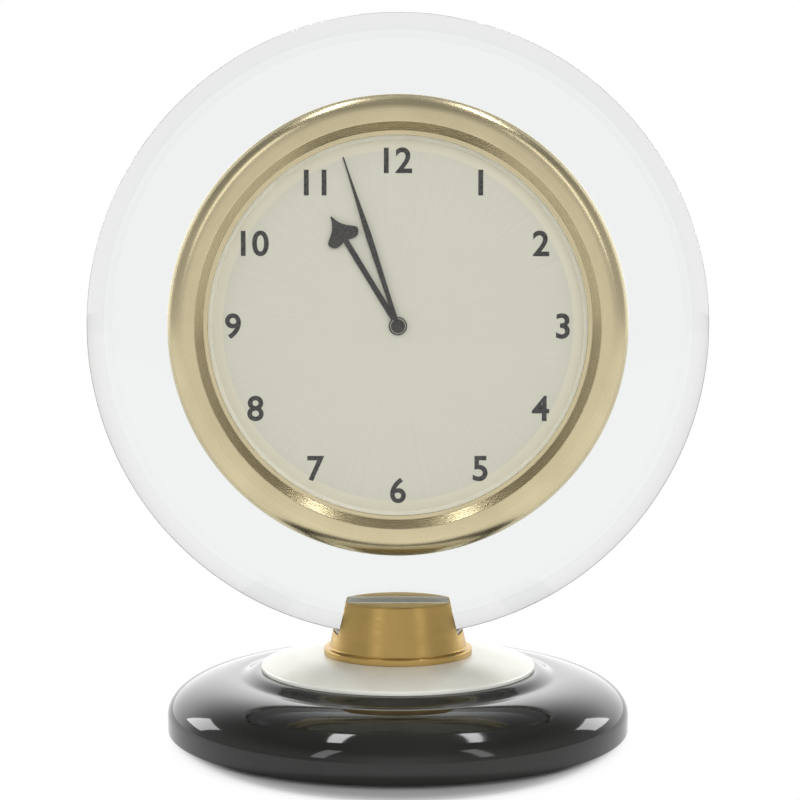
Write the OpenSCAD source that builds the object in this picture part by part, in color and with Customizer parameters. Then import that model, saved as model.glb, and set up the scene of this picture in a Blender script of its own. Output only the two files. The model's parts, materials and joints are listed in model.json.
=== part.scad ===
// Desk clock: a round glass disc stands in a slotted metal neck on a turned base,
// and a two-hand quartz insert sits in a bore through the glass.
// Millimetres, +Z up, origin at the middle of the underside, dial facing -Y.

/* [Base] */
// Diameter of the base
base_d = 91.6; // [85:0.2:110]
// Height of the straight side
base_side_h = 3.4; // [2.4:0.2:6]
// Height of the round shoulder
shoulder_h = 7.1; // [5:0.1:9]
// Flat step above the shoulder
step_w = 0.8; // [0.4:0.1:2]
// Rise from the step to the plate
rise_h = 1.2; // [0.6:0.1:2.4]
// Width of that slope
rise_w = 3.9; // [3:0.1:6]
// Diameter of the metal plate on top
plate_d = 54.6; // [46:0.2:60]
// Height of the plate's edge
plate_edge_h = 0.8; // [0.4:0.1:1.6]
// Rise of the plate's crown from that edge to the neck
crown_h = 2.1; // [0.6:0.1:3]
// Flat seat left round the neck
seat_margin = 0.8; // [0.4:0.1:2]
// Small bevel at the lower edge
base_edge = 0.6; // [0.2:0.1:1.2]
// Thickness of the felt pad
pad_t = 1.2; // [1:0.1:2]
// How far the pad stands below the base
pad_proud = 0.4; // [0.3:0.1:0.7]
// Rim of the base left round the pad
pad_margin = 5; // [3:0.5:8]

/* [Neck] */
// Diameter at the foot of the neck
neck_foot_d = 28; // [26:0.2:32]
// Diameter at the top of the neck
neck_top_d = 23.4; // [21:0.2:26]
// Height of the neck
neck_h = 10.8; // [9:0.2:14]
// Height of the ring at the neck's foot
neck_ring_h = 1.3; // [0.5:0.1:1.5]
// How far that ring stands out
neck_ring_proud = 0.8; // [0.2:0.1:0.8]
// How deep the disc sits in the neck
glass_seat_depth = 7; // [5:0.2:8]
// Thickness of the cushion in the slot
liner_t = 0.6; // [0.3:0.1:1]
// Diameter of the spigot under the neck
spigot_d = 12; // [9:0.5:16]
// Length of that spigot
spigot_l = 5; // [4:0.2:6]

/* [Base screw] */
// Diameter of the screw's thread
screw_d = 5; // [4:0.5:6]
// Diameter of the screw's head
screw_head_d = 8.5; // [8:0.5:11]
// Height of the screw's head
screw_head_h = 2.8; // [2:0.2:3.4]
// Across the corners of the hexagon in the head
screw_hex_d = 4; // [3:0.5:5]
// Diameter of the washer
washer_d = 11; // [9:0.5:14]
// Thickness of the washer
washer_t = 1; // [0.6:0.1:1.4]
// Metal left above the screw's end
screw_cover = 1.2; // [1:0.1:1.5]

/* [Glass disc] */
// Diameter of the glass disc
glass_d = 123; // [112:1:140]
// Thickness of the glass disc
glass_t = 10; // [9:0.5:12]
// Width of the bevel on the disc's faces
bevel_w = 4.5; // [2:0.25:6]
// Depth of the bevel into the disc's thickness
bevel_t = 2.5; // [1:0.25:3.5]

/* [Insert case] */
// Outer diameter of the drum
drum_d = 81; // [80:0.5:88]
// Wall of the drum
drum_wall = 1; // [0.8:0.1:1.2]
// Thickness of the rubber ring between drum and glass
grip_t = 1.5; // [1:0.1:2.5]
// Width of that rubber ring
grip_w = 6; // [4:0.5:8]
// How far the bezel overlaps the drum
bezel_lap = 4.5; // [3.5:0.25:6]
// Height of the bezel above the glass
bezel_h = 5.3; // [4.6:0.1:7]
// Straight part of the bezel's outer side
bezel_side_h = 1.4; // [0.8:0.1:2]
// Width of the bezel's flat land
land_w = 1.9; // [1:0.1:2.5]
// Slope width of the bezel's inner wall
inner_slope_w = 1.6; // [1:0.1:2]
// Depth of the bezel's spigot in the drum
bezel_spigot_l = 0.9; // [0.5:0.1:0.9]
// Thickness of the lens
lens_t = 1.5; // [1:0.1:1.8]
// Thickness of the gasket behind the lens
gasket_t = 0.3; // [0.2:0.1:0.5]
// Width of the lip and of the ring that show round the dial
lip_w = 2; // [1.5:0.1:2.5]
// Thickness of the back cover
cover_t = 1.5; // [1.2:0.1:2.5]
// Room between the movement and the back cover
cover_room = 1; // [0.8:0.1:2]
// Diameter of the cover screws
cover_screw_d = 2; // [1.6:0.2:2.4]
// Diameter of the bosses that take the cover screws
cover_boss_d = 5.2; // [4.4:0.2:6]
// Thickness of the battery door
door_t = 1.2; // [1:0.1:2]

/* [Dial and hands] */
// Thickness of the dial plate
dial_t = 0.6; // [0.4:0.1:0.8]
// Depth of the dial's face below the bezel's seat
dial_depth = 1; // [1:0.1:1.5]
// Height of the dial ring
dial_ring_h = 2; // [1.8:0.1:2.4]
// Thickness of the hands
hand_t = 0.3; // [0.2:0.05:0.4]
// Clear height between the dial and the hour hand
hour_clear = 0.7; // [0.4:0.05:0.8]
// Clear height between the two hands
minute_clear = 0.4; // [0.3:0.05:0.5]
// Reach of the hour hand
hour_reach = 25; // [23:0.1:28]
// Reach of the minute hand
minute_reach = 34.5; // [30:0.5:36]
// Width of the hour hand's spade
spade_w = 6.6; // [6:0.2:11]
// Distance from the centre to the spade's widest place
spade_at = 20.3; // [18:0.1:21]
// Width of the hands' stems
stem_w = 1.1; // [0.8:0.1:1.6]
// Widest part of the minute hand's blade
blade_w = 1.2; // [1:0.1:2]
// Distance from the centre to the blade's widest place
blade_at = 18; // [14:0.5:22]
// Radius of the hour hand's boss
hour_boss_r = 1.8; // [1.8:0.1:3]
// Radius of the minute hand's boss
minute_boss_r = 1.4; // [1.4:0.1:2.4]
// Hour shown at rest
shown_hour = 10; // [0:1:11]
// Minute shown at rest
shown_minute = 57; // [0:1:59]

/* [Movement] */
// Wall of the movement's housing
housing_wall = 1.4; // [1.2:0.1:1.6]
// Inside depth of the movement
movement_depth = 12.2; // [12:0.1:13]
// Distance from the centre to the housing's upper side
movement_top = 26; // [25.6:0.1:27]
// Diameter of the battery, size AAA
cell_d = 10.5; // [10:0.1:10.5]
// Length of the battery with its button
cell_l = 44.5; // [43.5:0.1:44.5]
// Room for a contact at each end of the battery
contact_room = 2.35; // [2:0.05:2.5]
// Thickness of the contact strips
contact_t = 0.4; // [0.3:0.05:0.5]
// Thickness of the middle plate
plate_t = 0.6; // [0.5:0.05:0.8]
// Diameter of the movement screws
housing_screw_d = 1.6; // [1.2:0.1:1.8]
// Diameter of the posts that take those screws
post_d = 3.4; // [3:0.1:3.6]
// Diameter of the setting knob
knob_d = 10; // [8:0.5:13]
// Length of the setting knob
knob_l = 4; // [3:0.5:6]
// Diameter of the setting shaft
setting_d = 2; // [1.6:0.1:2.4]

/* [Gears] */
// Module of the drive train
train_module = 0.25; // [0.24:0.005:0.255]
// Module of the motion work
motion_module = 0.3; // [0.28:0.005:0.305]
// Thickness of the wheels
wheel_t = 0.8; // [0.6:0.05:0.9]
// Radius of the arbors
arbor_r = 0.5; // [0.4:0.05:0.6]
// Radius of the centre arbor
centre_r = 0.6; // [0.55:0.05:0.65]
// Radius of the cannon pinion's tube
cannon_r = 1; // [0.9:0.05:1.1]
// Radius of the hour wheel's pipe
hour_pipe_r = 1.5; // [1.4:0.05:1.6]

/* [Clearances] */
// Radial clearance of running fits
run_gap = 0.05; // [0.03:0.01:0.08]
// Radial clearance of fixed fits
fix_gap = 0.02; // [0.01:0.01:0.04]
// Clearance round parts that only pass through
pass_gap = 0.3; // [0.2:0.05:0.4]

/* [Hidden] */
$fn = 96;
// Overrun of a cut past the face that it opens
cut = 1;

// Heights of the base and the neck
base_r = base_d / 2;
pad_r = base_r - pad_margin;
base_bottom = pad_proud;
pad_top = pad_t;
side_top = base_bottom + base_side_h;
step_z = side_top + shoulder_h;
base_top = step_z + rise_h;
plate_edge = base_top + plate_edge_h;
seat_z = plate_edge + crown_h;
neck_top = seat_z + neck_h;
plate_r = plate_d / 2;
// Flat rim left round the plate
rim_w = 0.5;
rim_r = plate_r + rim_w;
rise_r = rim_r + rise_w;
step_r = rise_r + step_w;
neck_foot_r = neck_foot_d / 2;
neck_top_r = neck_top_d / 2;
ring_r = neck_foot_r + neck_ring_proud;
crown_r = ring_r + seat_margin;
neck_edge = 0.3;
shoulder_steps = 18;
rise_steps = 10;
crown_steps = 12;

// The glass disc, whose centre is the dial's centre
glass_r = glass_d / 2;
glass_half = glass_t / 2;
slot_half = glass_half + liner_t;
slot_r = glass_r + liner_t;
dial_z = neck_top - glass_seat_depth + glass_r;
slot_floor = dial_z - slot_r;
liner_inset = 0.4;

// The screw under the base
pocket_top = pad_top + screw_head_h + washer_t + cut;
washer_bottom = pocket_top - washer_t;
head_bottom = washer_bottom - screw_head_h;
hex_depth = screw_head_h / 2;
screw_top = slot_floor - screw_cover;
screw_r = screw_d / 2;

// The insert's depths run along the dial's axis, forward from the disc's middle
bezel_seat = glass_half;
drum_r = drum_d / 2;
drum_in_r = drum_r - drum_wall;
bore_r = drum_r + grip_t;
bezel_r = drum_r + bezel_lap;
dial_front = bezel_seat - dial_depth;
dial_back = dial_front - dial_t;
dial_r = drum_in_r - 4 * run_gap;
ledge_t = 1;
spigot_out_r = drum_in_r - 2 * run_gap;
spigot_wall = 0.5;
lens_pocket_r = spigot_out_r - spigot_wall;
lens_r = lens_pocket_r - 2 * run_gap;
lip_r = lens_pocket_r - lip_w;
ring_top = dial_front + dial_ring_h;
lens_back = ring_top + gasket_t;
lens_front = lens_back + lens_t;
land_top = bezel_seat + bezel_h;
lip_t = 0.5;
lip_face_w = 0.8;
inner_foot_r = lip_r + lip_face_w;
land_in_r = inner_foot_r + inner_slope_w;
land_out_r = land_in_r + land_w;
brow_steps = 10;
ring_face_w = 1.3;

// Hands
hour_back = dial_front + hour_clear;
hour_front = hour_back + hand_t;
minute_back = hour_front + minute_clear;
minute_front = minute_back + hand_t;
cannon_front = minute_front + run_gap;
cap_t = 0.4;
cap_proud = 0.3;
cap_r = cannon_r + cap_proud;
hour_turn = -30 * (shown_hour + shown_minute / 60);
minute_turn = -6 * shown_minute;
curve_steps = 8;
// Half the width of a hand's tip
tip_half_w = 0.14;

// Gear teeth
pressure_angle = 25;
addendum = 0.8;
dedendum = 1.1;
backlash = 0.09;
cannon_teeth = 15;
minute_wheel_teeth = 45;
minute_pinion_teeth = 12;
hour_teeth = 48;
setting_teeth = 15;
centre_teeth = 80;
third_pinion_teeth = 10;
third_teeth = 75;
rotor_teeth = 10;

// Places of the arbors round the centre, seen from the front
minute_wheel_angle = -20;
setting_angle = 60;
third_angle = 120;
rotor_angle = 20;
motion_distance = motion_module * (cannon_teeth + minute_wheel_teeth) / 2;
setting_distance = motion_module * (minute_wheel_teeth + setting_teeth) / 2;
third_distance = train_module * (centre_teeth + third_pinion_teeth) / 2;
rotor_distance = train_module * (third_teeth + rotor_teeth) / 2;
minute_wheel_at = polar(motion_distance, minute_wheel_angle);
setting_at = minute_wheel_at + polar(setting_distance, setting_angle);
third_at = polar(third_distance, third_angle);
rotor_at = third_at + polar(rotor_distance, rotor_angle);

// Turn of each gear that puts its teeth into its neighbour's gaps
minute_wheel_phase = mesh_phase(minute_wheel_angle, cannon_teeth, 0, minute_wheel_teeth);
setting_phase = mesh_phase(setting_angle, minute_wheel_teeth, minute_wheel_phase, setting_teeth);
minute_pinion_phase = mesh_phase(minute_wheel_angle, hour_teeth, 0, minute_pinion_teeth);
third_pinion_phase = mesh_phase(third_angle, centre_teeth, 0, third_pinion_teeth);
rotor_phase = mesh_phase(rotor_angle, third_teeth, 0, rotor_teeth);

// Layers of the movement, from the dial to the rear
front_in = dial_back - housing_wall;
end_shake = 0.1;
layer_gap = 0.5;
motion_gap = 0.6;
train_gap = 1.2;
stator_gap = 1.8;
pinion_over = 0.2;
hour_wheel_top = front_in - 2 * end_shake;
hour_wheel_bottom = hour_wheel_top - wheel_t;
minute_wheel_top = hour_wheel_bottom - motion_gap;
minute_wheel_bottom = minute_wheel_top - wheel_t;
plate_top = minute_wheel_bottom - layer_gap;
plate_bottom = plate_top - plate_t;
centre_wheel_top = plate_bottom - layer_gap;
centre_wheel_bottom = centre_wheel_top - wheel_t;
third_wheel_top = centre_wheel_bottom - train_gap;
third_wheel_bottom = third_wheel_top - wheel_t;
stator_t = 0.8;
stator_top = third_wheel_bottom - stator_gap;
stator_bottom = stator_top - stator_t;
core_bottom = stator_bottom - stator_t;
rear_in = front_in - movement_depth;
rear_out = rear_in - housing_wall;
cover_in = rear_out - cover_room;
cover_out = cover_in - cover_t;

// Outline of the movement, set by the battery and the train
centre_tip_r = train_module * (centre_teeth / 2 + addendum);
train_room = 2;
train_bottom_y = -(centre_tip_r + train_room);
partition_t = 0.8;
cell_gap = 0.35;
cell_r = cell_d / 2;
cell_y = train_bottom_y - partition_t - cell_gap - cell_r;
cradle_h = 2;
cell_f = front_in - cradle_h - cell_gap - cell_r;
bay_half_l = cell_l / 2 + contact_room;
housing_half_w = bay_half_l + housing_wall;
housing_bottom_y = cell_y - cell_r - cell_gap - housing_wall;
contact_half_w = 3.6;
bay_corner_r = norm([bay_half_l, cell_y - contact_half_w]);
housing_r = bay_corner_r + cell_gap + housing_wall;
// The dial's ledge fills the ring between the housing and the drum
ledge_w = drum_in_r - housing_r - cell_gap;
button_r = 1.9;
button_l = 1;
cradle_x = 12;
cradle_w = 2;

// Posts that clamp the middle plate between both halves of the housing
post_places = [[-17, -8.5], [19, -8.5], [18, 14], [-20, 12]];
post_r = post_d / 2;
housing_screw_r = housing_screw_d / 2;
housing_head_proud = 0.7;
housing_head_r = housing_screw_r + housing_head_proud;
housing_head_h = 0.7;
screw_end_room = 1;
housing_screw_end = front_in - screw_end_room;
plate_margin = 1.9;

// Stepping motor
magnet_r = 2.4;
magnet_l = 2;
magnet_top = stator_top + (magnet_l - stator_t) / 2;
magnet_gap = 0.5;
stator_hole_r = magnet_r + magnet_gap;
stator_frame = [-17, 12.6];
stator_lower_y = [11.9, 14.9];
stator_block_x = [0.4, 9];
stator_block_half_w = 4.2;
stator_yoke_w = 2.6;
core_y = 20;
core_w = 2;
core_room = 0.04;
coil_x = [-13.6, 4.4];
bobbin_r = 1.5;
bobbin_flange_r = 2.2;
bobbin_flange_t = 0.8;
winding_r = 2;
stake_r = 0.7;
stake_over = 0.4;
core_f = (stator_bottom + core_bottom) / 2;

// Circuit board, between the setting shaft and the housing's side
board_side_gap = 0.6;
board_shaft_gap = 1.6;
board_x = [setting_at[0] + setting_d / 2 + board_shaft_gap, bay_half_l - board_side_gap];
board_y = [-6, 10.4];
board_t = 0.9;
board_lift = 1;
board_back = rear_in + board_lift;
board_front = board_back + board_t;
board_inset = 2.2;
board_posts = [[board_x[0] + board_inset, board_y[0] + board_inset],
    [board_x[1] - board_inset, board_y[1] - board_inset]];
chip_y = 1.2;
chip_at = [(board_x[0] + board_x[1]) / 2, chip_y];
chip_size = [4.4, 4.4, 1.1];
crystal_r = 1;
crystal_l = 6;
crystal_gap = 0.5;
crystal_at = [board_x[0] + board_inset, chip_y + chip_size[1] / 2 + crystal_gap];

// Setting shaft and knob
setting_r = setting_d / 2;
knob_gap = 0.5;
knob_front = cover_out - knob_gap;
knob_back = knob_front - knob_l;
knob_grooves = 18;
groove_r = 0.45;

// Back cover, its screws and the battery door
cover_screw_r = cover_screw_d / 2;
cover_boss_r = cover_boss_d / 2;
boss_sink = 0.3;
cover_boss_at = drum_in_r - cover_boss_r + boss_sink;
cover_boss_l = 6;
cover_boss_angles = [90, 210, 330];
cover_head_proud = 0.9;
cover_head_r = cover_screw_r + cover_head_proud;
cover_head_h = 0.9;
cover_screw_l = 4.5;
cover_lip_w = 0.8;
cover_lip_l = 1.2;
cover_pad_r = 2;
cover_pads = [[-17, 4], [-12, 19], [9, 20]];
hatch_room_l = 0.75;
hatch_half_l = cell_l / 2 + hatch_room_l;
hatch_room_w = 1;
hatch_half_w = cell_r + hatch_room_w;
door_lap = 1.4;
door_half_l = hatch_half_l + door_lap;
door_half_w = hatch_half_w + door_lap;
door_gap = 0.1;
door_front = cover_out - door_gap;
door_back = door_front - door_t;
rail_w = 1.5;
rail_lip = 1.2;
rail_t = 0.9;
rail_back = door_back - door_gap - rail_t;
grip_ribs = 5;
grip_rib_pitch = 1.6;
grip_rib_w = 0.7;
grip_rib_h = 0.4;
grip_rib_half_l = 7;

function polar(r, a) = [r * cos(a), r * sin(a)];
function span(middle, half) = [middle - half, middle + half];
function involute(r, base) = let (t = sqrt(max(0, r * r / (base * base) - 1))) t * 180 / PI - atan(t);
// Half the angle that a tooth fills at radius r
function half_tooth(m, teeth, r) =
    let (pitch = m * teeth / 2)
    let (base = pitch * cos(pressure_angle))
    (PI * m - backlash) / (4 * pitch) * 180 / PI + involute(pitch, base) - involute(max(r, base), base);
function gear_points(m, teeth) =
    let (pitch = m * teeth / 2)
    let (radii = [pitch - dedendum * m, pitch, pitch + addendum * m])
    [for (k = [0 : teeth - 1])
        let (middle = 360 * k / teeth)
        each concat(
            [for (r = radii) polar(r, middle - half_tooth(m, teeth, r))],
            [for (i = [2 : -1 : 0]) polar(radii[i], middle + half_tooth(m, teeth, radii[i]))]
        )];
// Turn of a second gear, seen at angle a from the first, that meshes with it
function mesh_phase(a, teeth_1, phase_1, teeth_2) =
    a + 180 - (0.5 - (a - phase_1) * teeth_1 / 360) * 360 / teeth_2;
function bezier(p, t) =
    pow(1 - t, 3) * p[0] + 3 * t * pow(1 - t, 2) * p[1] + 3 * t * t * (1 - t) * p[2] + pow(t, 3) * p[3];
function curve(p) = [for (i = [0 : curve_steps]) bezier(p, i / curve_steps)];
function reversed(list) = [for (i = [len(list) - 1 : -1 : 0]) list[i]];
// A closed outline from its right-hand half, listed upwards
function mirrored(half) = concat(half, [for (p = reversed(half)) [-p[0], p[1]]]);

// Shapes that repeat. The dial's frame has x right, y up and z towards the viewer.
module at_dial() { translate([0, 0, dial_z]) rotate([90, 0, 0]) children(); }
module at(place) { translate([place[0], place[1], 0]) children(); }
module rod(r, low, high) { translate([0, 0, low]) cylinder(r = r, h = high - low); }
module tube(r_out, r_in, low, high) {
    difference() {
        rod(r_out, low, high);
        rod(r_in, low - cut, high + cut);
    }
}
module block(x, y, z) { translate([x[0], y[0], z[0]]) cube([x[1] - x[0], y[1] - y[0], z[1] - z[0]]); }
module gear(m, teeth, phase, low, high) {
    translate([0, 0, low]) rotate([0, 0, phase]) linear_extrude(high - low) polygon(gear_points(m, teeth));
}
module along_x(low, high, r) { translate([low, 0, 0]) rotate([0, 90, 0]) cylinder(r = r, h = high - low); }

// Foot of the clock
function base_profile() = concat(
    [[0, base_bottom], [base_r - base_edge, base_bottom], [base_r, base_bottom + base_edge]],
    [for (i = [0 : shoulder_steps])
        let (a = 90 * i / shoulder_steps)
        [step_r + (base_r - step_r) * cos(a), side_top + shoulder_h * sin(a)]],
    [for (i = [0 : rise_steps])
        let (t = i / rise_steps)
        [rise_r - rise_w * t, step_z + rise_h * (1 - cos(180 * t)) / 2]],
    [[0, base_top]]
);
function plate_profile() = concat(
    [[spigot_d / 2 + run_gap, base_top], [plate_r, base_top]],
    [for (i = [0 : crown_steps])
        let (t = 1 - i / crown_steps)
        [crown_r + (plate_r - crown_r) * t, plate_edge + crown_h * (1 - t * t)]],
    [[spigot_d / 2 + run_gap, seat_z]]
);
module base() {
    color("#2d2e28") difference() {
        rotate_extrude() polygon(base_profile());
        rod(pad_r + pass_gap, base_bottom - cut, pad_top);
        rod(washer_d / 2 + pass_gap, base_bottom, pocket_top);
        rod(screw_r + pass_gap, base_bottom, base_top);
        rod(spigot_d / 2 + run_gap, seat_z - spigot_l - pass_gap, base_top + cut);
    }
}
module top_plate() { color("#dcdcd6") rotate_extrude() polygon(plate_profile()); }
module foot_pad() { color("#202020") rod(pad_r, 0, pad_top); }
module base_washer() { color("#b8b8b8") tube(washer_d / 2, screw_r + run_gap, washer_bottom, pocket_top); }
module base_screw() {
    color("#9a9a98") difference() {
        union() {
            rod(screw_head_d / 2, head_bottom, washer_bottom);
            rod(screw_r, washer_bottom, screw_top);
        }
        translate([0, 0, head_bottom - cut]) cylinder(r = screw_hex_d / 2, h = hex_depth + cut, $fn = 6);
    }
}

// Neck and the cushion in its slot
function neck_profile(inset) = [
    [0, seat_z], [neck_foot_r - inset, seat_z],
    [neck_top_r - inset, neck_top - neck_edge], [neck_top_r - inset - neck_edge, neck_top], [0, neck_top]
];
module neck() {
    color("#b79a5c") difference() {
        union() {
            rotate_extrude() polygon(neck_profile(0));
            rod(ring_r, seat_z, seat_z + neck_ring_h);
            rod(spigot_d / 2, seat_z - spigot_l, seat_z + neck_ring_h);
        }
        at_dial() rod(slot_r, -slot_half, slot_half);
        rod(screw_r + run_gap, seat_z - spigot_l - cut, screw_top + run_gap);
    }
}
module glass_liner() {
    color("#d8d4c4") difference() {
        intersection() {
            rotate_extrude() polygon(neck_profile(liner_inset));
            at_dial() rod(slot_r - fix_gap, -slot_half + fix_gap, slot_half - fix_gap);
        }
        at_dial() rod(glass_r + fix_gap, -glass_half - fix_gap, glass_half + fix_gap);
    }
}

// Disc and the insert's case
module glass_disc() {
    color("#e8eef0", 0.4) at_dial() rotate_extrude() polygon([
        [bore_r, -glass_half], [glass_r - bevel_w, -glass_half], [glass_r, -glass_half + bevel_t],
        [glass_r, glass_half - bevel_t], [glass_r - bevel_w, glass_half], [bore_r, glass_half]
    ]);
}
module grip_ring() {
    color("#d8d4c4") at_dial() tube(bore_r - fix_gap, drum_r + fix_gap, -grip_w / 2, grip_w / 2);
}
module case_drum() {
    color("#c2b48c") at_dial() difference() {
        union() {
            tube(drum_r, drum_in_r, cover_in, bezel_seat);
            tube(drum_in_r + drum_wall / 2, drum_in_r - ledge_w, dial_back - ledge_t, dial_back);
            intersection() {
                rod(drum_in_r + drum_wall / 2, cover_in, cover_in + cover_boss_l);
                for (a = cover_boss_angles)
                    at(polar(cover_boss_at, a)) rod(cover_boss_r, cover_in, cover_in + cover_boss_l);
            }
        }
        for (a = cover_boss_angles)
            at(polar(cover_boss_at, a)) rod(cover_screw_r + fix_gap, cover_in - cut, cover_in + cover_screw_l);
    }
}
// The bezel's section: side, round brow, land, steep inner wall and the lip over the lens
function bezel_profile() = concat(
    [[lens_pocket_r, bezel_seat - bezel_spigot_l], [spigot_out_r, bezel_seat - bezel_spigot_l]],
    [[spigot_out_r, bezel_seat], [bezel_r, bezel_seat]],
    [for (i = [0 : brow_steps])
        let (a = 90 * i / brow_steps)
        [land_out_r + (bezel_r - land_out_r) * cos(a),
            bezel_seat + bezel_side_h + (bezel_h - bezel_side_h) * sin(a)]],
    [[land_in_r, land_top], [inner_foot_r, lens_front + lip_t], [lip_r, lens_front + lip_t]],
    [[lip_r, lens_front], [lens_pocket_r, lens_front]]
);
module bezel() { color("#c2b692") at_dial() rotate_extrude() polygon(bezel_profile()); }
module lens() { color("#f0f4f4", 0.25) at_dial() rod(lens_r, lens_back, lens_front); }
module lens_gasket() { color("#e0dcc8") at_dial() tube(lens_r, lens_r - ring_face_w, ring_top, lens_back); }
module dial_ring() {
    color("#d8d0b0") at_dial() rotate_extrude() polygon([
        [lip_r - lip_t, dial_front], [lens_r, dial_front], [lens_r, ring_top], [lens_r - ring_face_w, ring_top]
    ]);
}

// Dial and hands
foot_at = 20;
foot_l = 1;
module dial() {
    color("#d6d4c5") at_dial() {
        tube(dial_r, hour_pipe_r + pass_gap, dial_back, dial_front);
        for (side = [-1, 1]) at([side * foot_at, 0]) rod(arbor_r, dial_back - foot_l, dial_back);
    }
}
// Half the spade hand: stem, a lobe that hangs below its root, and a point drawn in to the tip
function spade_half() = concat(
    [[stem_w / 2, 0]],
    curve([[stem_w / 2, spade_at - spade_w * 0.12], [stem_w, spade_at - spade_w * 0.16],
        [spade_w * 0.42, spade_at - spade_w * 0.26], [spade_w / 2, spade_at]]),
    curve([[spade_w / 2, spade_at], [spade_w * 0.54, spade_at + spade_w * 0.17],
        [spade_w * 0.12, spade_at + spade_w * 0.2], [tip_half_w, hour_reach]])
);
// Half the minute hand: a stem that swells to a blade and thins to the tip
function blade_half() = concat(
    [[stem_w * 0.4, 0]],
    curve([[stem_w * 0.4, minute_boss_r], [stem_w * 0.4, blade_at * 0.6],
        [blade_w / 2, blade_at * 0.75], [blade_w / 2, blade_at]]),
    curve([[blade_w / 2, blade_at], [blade_w / 2, blade_at * 1.2],
        [blade_w * 0.25, blade_at * 1.3], [tip_half_w, minute_reach]])
);
module hand(half, boss_r, hole_r, turn, low) {
    at_dial() rotate([0, 0, turn]) translate([0, 0, low]) linear_extrude(hand_t) difference() {
        union() {
            circle(r = boss_r);
            polygon(mirrored(half));
        }
        circle(r = hole_r);
    }
}
module hour_hand() {
    color("#26241c") hand(spade_half(), hour_boss_r, hour_pipe_r + fix_gap, hour_turn, hour_back);
}
module minute_hand() {
    color("#26241c") hand(blade_half(), minute_boss_r, cannon_r + fix_gap, minute_turn, minute_back);
}
module hand_cap() {
    color("#3a3424") at_dial() difference() {
        rod(cap_r, minute_front, minute_front + cap_t);
        rod(cannon_r + fix_gap, minute_front - cut, cannon_front + fix_gap);
    }
}

// Back of the case
module back_cover() {
    color("#2b2b2b") at_dial() difference() {
        union() {
            rod(drum_r, cover_out, cover_in);
            tube(drum_in_r - 2 * run_gap, drum_in_r - cover_lip_w, cover_in, cover_in + cover_lip_l);
            for (p = cover_pads) at(p) rod(cover_pad_r, cover_in, rear_out);
            for (side = [-1, 1]) door_rail(side);
        }
        for (a = cover_boss_angles) at(polar(cover_boss_at, a)) {
            rod(cover_screw_r + run_gap, cover_out - cut, cover_in + cut);
            rod(cover_boss_r + pass_gap, cover_in, cover_in + cover_lip_l + cut);
        }
        at(setting_at) rod(setting_r + pass_gap, cover_out - cut, cover_in + cut);
        translate([0, cell_y, 0])
            block([-hatch_half_l, hatch_half_l], [-hatch_half_w, hatch_half_w], [cover_out - cut, cover_in + cut]);
    }
}
// One L-shaped rail that the door slides in, on the side x = side
module door_rail(side) {
    inner = door_half_l + door_gap;
    translate([0, cell_y, 0]) mirror([side < 0 ? 1 : 0, 0, 0]) {
        block([inner, inner + rail_w], [-door_half_w, door_half_w], [rail_back, cover_out]);
        block([inner - rail_lip, inner + rail_w], [-door_half_w, door_half_w], [rail_back, rail_back + rail_t]);
    }
}
module battery_door() {
    color("#333333") at_dial() translate([0, cell_y, 0]) {
        block([-door_half_l, door_half_l], [-door_half_w, door_half_w], [door_back, door_front]);
        for (i = [0 : grip_ribs - 1])
            translate([0, (i - (grip_ribs - 1) / 2) * grip_rib_pitch, 0])
                block([-grip_rib_half_l, grip_rib_half_l], [-grip_rib_w / 2, grip_rib_w / 2],
                    [door_back - grip_rib_h, door_back]);
    }
}
module cover_screws() {
    color("#b0b0ac") at_dial() for (a = cover_boss_angles) at(polar(cover_boss_at, a)) difference() {
        union() {
            rod(cover_head_r, cover_out - cover_head_h, cover_out);
            rod(cover_screw_r, cover_out - cover_head_h, cover_in + cover_screw_l - pass_gap);
        }
        block([-cover_head_r, cover_head_r], [-groove_r / 2, groove_r / 2],
            [cover_out - cover_head_h - cut, cover_out - cover_head_h / 2]);
    }
}
module setting_knob() {
    color("#2b2b2b") at_dial() at(setting_at) difference() {
        rod(knob_d / 2, knob_back, knob_front);
        rod(setting_r + fix_gap, knob_back + housing_wall, knob_front + cut);
        for (k = [0 : knob_grooves - 1])
            at(polar(knob_d / 2, 360 * k / knob_grooves)) rod(groove_r, knob_back - cut, knob_front + cut);
    }
}
module setting_shaft() {
    color("#d8d8d0") at_dial() at(setting_at) {
        rod(setting_r, knob_back + housing_wall + fix_gap, minute_wheel_bottom - pinion_over);
        gear(motion_module, setting_teeth, setting_phase,
            minute_wheel_bottom - pinion_over, minute_wheel_top + pinion_over);
        rod(arbor_r, minute_wheel_top + pinion_over, front_in + housing_wall / 2);
    }
}

// Housing of the movement
module housing_outline(inset, low, high, y) {
    intersection() {
        block([-housing_half_w + inset, housing_half_w - inset], y, [low, high]);
        rod(housing_r - inset, low, high);
    }
}
module movement_front() {
    color("#e6e6e2") at_dial() difference() {
        union() {
            difference() {
                housing_outline(0, rear_in, dial_back, [housing_bottom_y, movement_top]);
                housing_outline(housing_wall, rear_in - cut, front_in,
                    [train_bottom_y, movement_top - housing_wall]);
                housing_outline(housing_wall, rear_in - cut, front_in,
                    [housing_bottom_y + housing_wall, train_bottom_y - partition_t]);
            }
            for (p = post_places) at(p) rod(post_r, plate_top, dial_back - housing_wall / 2);
            cell_cradle();
        }
        for (p = post_places) at(p) rod(housing_screw_r + fix_gap, plate_top - cut, housing_screw_end + pass_gap);
        rod(hour_pipe_r + run_gap, rear_in, dial_back + cut);
        for (p = [minute_wheel_at, setting_at])
            at(p) rod(arbor_r + run_gap, front_in - cut, front_in + housing_wall / 2 + run_gap);
        for (side = [-1, 1])
            at([side * foot_at, 0]) rod(arbor_r + run_gap, dial_back - foot_l - run_gap, dial_back + cut);
    }
}
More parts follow.
